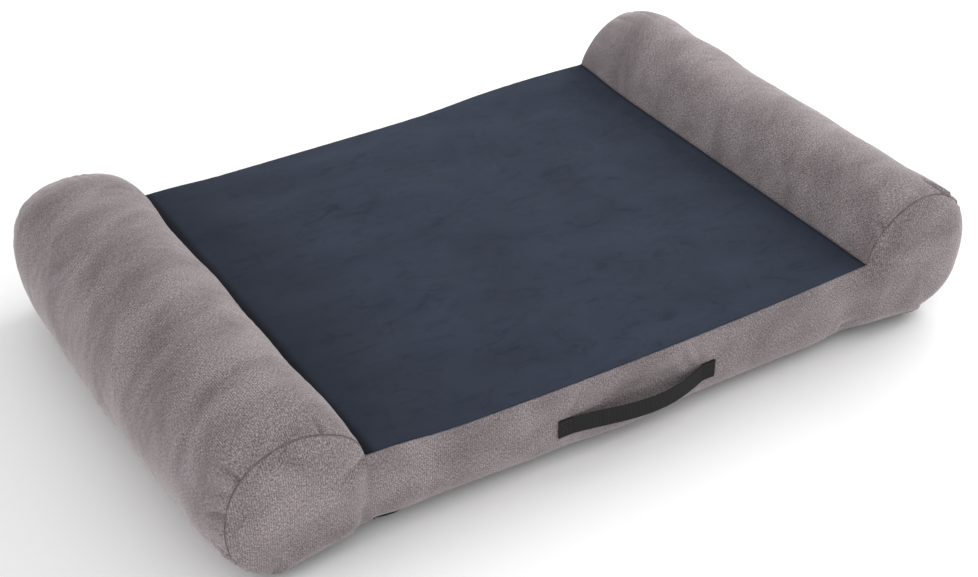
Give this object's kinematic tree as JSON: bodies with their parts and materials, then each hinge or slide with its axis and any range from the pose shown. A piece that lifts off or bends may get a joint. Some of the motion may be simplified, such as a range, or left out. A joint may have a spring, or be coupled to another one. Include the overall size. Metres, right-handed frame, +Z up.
{
  "type": "dog mattress",
  "caption": "Foam pet mat with a round bolster along each short side, a soft lying surface, a webbing carrying handle on the front wall and a zipped cover.",
  "frame": {"origin": "on the floor, under the middle of the lying surface", "axes": "+Z up, +X from the left bolster to the right bolster as seen from the handle side, -Y towards the handle"},
  "size_m": [1.0992, 0.6823, 0.2038],
  "materials": {
    "chenille": "short-pile woven chenille, mauve grey",
    "microsuede": "brushed microsuede pile, dark navy",
    "base_fabric": "woven black underside fabric with anti-slip dots",
    "lining": "plain black lining fabric",
    "foam": "open-cell polyurethane foam, cream",
    "fill": "loose polyester fibre, white",
    "webbing": "ribbed polypropylene webbing, black",
    "thread": "black polyester thread",
    "zip_tape": "woven polyester zip tape, black",
    "zip_teeth": "moulded nylon, black",
    "zip_metal": "dark lacquered zinc"
  },
  "bodies": {
    "mattress": {"top_panel": "microsuede", "left_bolster_cover": "chenille", "right_bolster_cover": "chenille", "front_panel": "chenille", "back_panel": "chenille", "base_panel": "base_fabric", "left_divider": "lining", "right_divider": "lining", "foam_core": "foam", "left_bolster_fill": "fill", "right_bolster_fill": "fill", "handle_left_tab": "webbing", "handle_right_tab": "webbing", "handle_left_web": "webbing", "handle_right_web": "webbing", "handle_left_stitching": "thread", "handle_right_stitching": "thread", "zip_upper_tape": "zip_tape", "zip_lower_tape": "zip_tape", "zip_upper_teeth": "zip_teeth", "zip_lower_teeth": "zip_teeth", "zip_end_stops": "zip_metal"},
    "handle": {"handle_grip": "webbing"},
    "slider": {"zip_slider": "zip_metal"},
    "puller": {"zip_puller": "zip_metal"}
  },
  "joints": [
    {"name": "handle_lift", "type": "hinge", "parent": "mattress", "child": "handle", "pos_m": [0.008, -0.32693, 0.058], "axis": [-1, 0, 0], "range_deg": [-40, 40], "deforming": ["handle_left_web", "handle_right_web"]},
    {"name": "zip_slide", "type": "slide", "parent": "mattress", "child": "slider", "axis": [-1, 0, 0], "range_m": [0, 0.578]},
    {"name": "puller_swing", "type": "hinge", "parent": "slider", "child": "puller", "pos_m": [0.29, 0.32587, 0.061], "axis": [0, 0, -1], "range_deg": [0, 175]}
  ]
}
